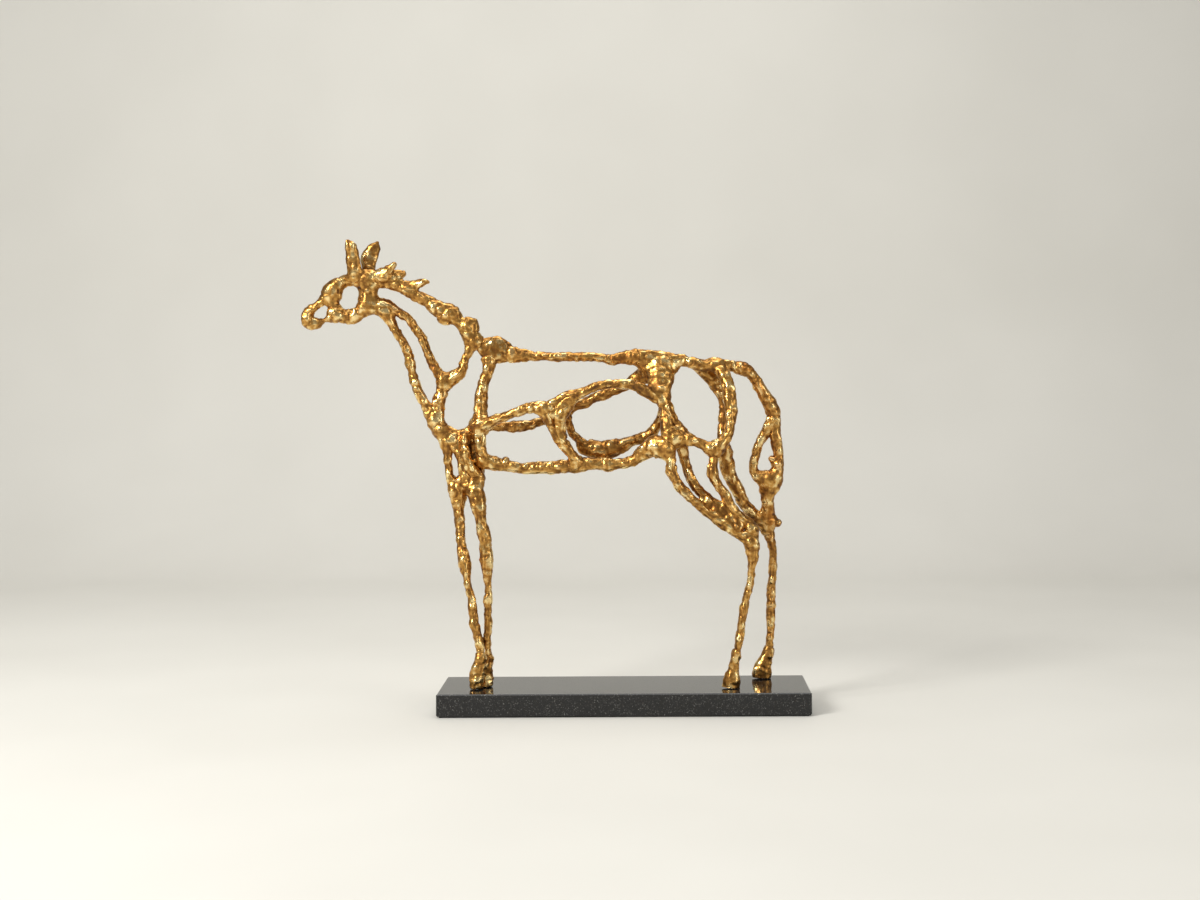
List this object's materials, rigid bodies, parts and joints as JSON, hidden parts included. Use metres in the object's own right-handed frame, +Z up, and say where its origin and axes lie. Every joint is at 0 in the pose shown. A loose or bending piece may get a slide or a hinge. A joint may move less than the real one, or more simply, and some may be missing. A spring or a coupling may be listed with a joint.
{
  "type": "horse sculpture",
  "caption": "Openwork standing horse of welded gilded rods on a rectangular polished stone plinth, a decorative shelf or table piece.",
  "frame": {"origin": "centre of the felt's underside, where the plinth rests", "axes": "+X towards the horse's tail, +Y to its far side, +Z up"},
  "size_m": [0.5785, 0.108, 0.5387],
  "materials": {
    "gilt": "satin",
    "stone": "polished",
    "felt": "matte",
    "steel": "satin"
  },
  "bodies": {
    "root": {"back_rail_front": "gilt", "back_rail_rear": "gilt", "belly_rail_front": "gilt", "belly_rail_rear": "gilt", "breast_strip": "gilt", "brow_bar": "gilt", "cheek_bar": "gilt", "chest_core": "gilt", "chest_front_strand": "gilt", "chest_middle_strand": "gilt", "chest_rear_strand": "gilt", "chest_yoke": "gilt", "crest_bar": "gilt", "croup_bar": "gilt", "far_buttock_strut": "gilt", "far_ear": "gilt", "far_flank_bar": "gilt", "far_fore_hoof": "gilt", "far_fore_leg": "gilt", "far_fore_screw": "steel", "far_hind_hoof": "gilt", "far_hind_leg": "gilt", "far_hind_screw": "steel", "far_rib_lower": "gilt", "far_rib_upper": "gilt", "felt_sheet": "felt", "flank_strut": "gilt", "jaw_bar": "gilt", "lip_bar": "gilt", "mane_leaf": "gilt", "mane_tuft": "gilt", "near_buttock_strut": "gilt", "near_ear": "gilt", "near_flank_bow": "gilt", "near_fore_hoof": "gilt", "near_fore_leg": "gilt", "near_fore_screw": "steel", "near_hind_hoof": "gilt", "near_hind_leg": "gilt", "near_hind_screw": "steel", "near_rib": "gilt", "near_rump_strut": "gilt", "neck_bar": "gilt", "neck_brace": "gilt", "nose_bar": "gilt", "poll_tuft": "gilt", "rib_strip": "gilt", "rump_plate": "gilt", "shoulder_strut": "gilt", "stifle_bar": "gilt", "stone_plinth": "stone", "tail_inner_strand": "gilt", "tail_outer_strand": "gilt", "tail_switch": "gilt", "thigh_front_bar": "gilt", "thigh_inner_bar": "gilt", "thigh_middle_bar": "gilt", "thigh_rear_bar": "gilt", "throat_bar": "gilt", "withers_plate": "gilt"}
  },
  "joints": []
}
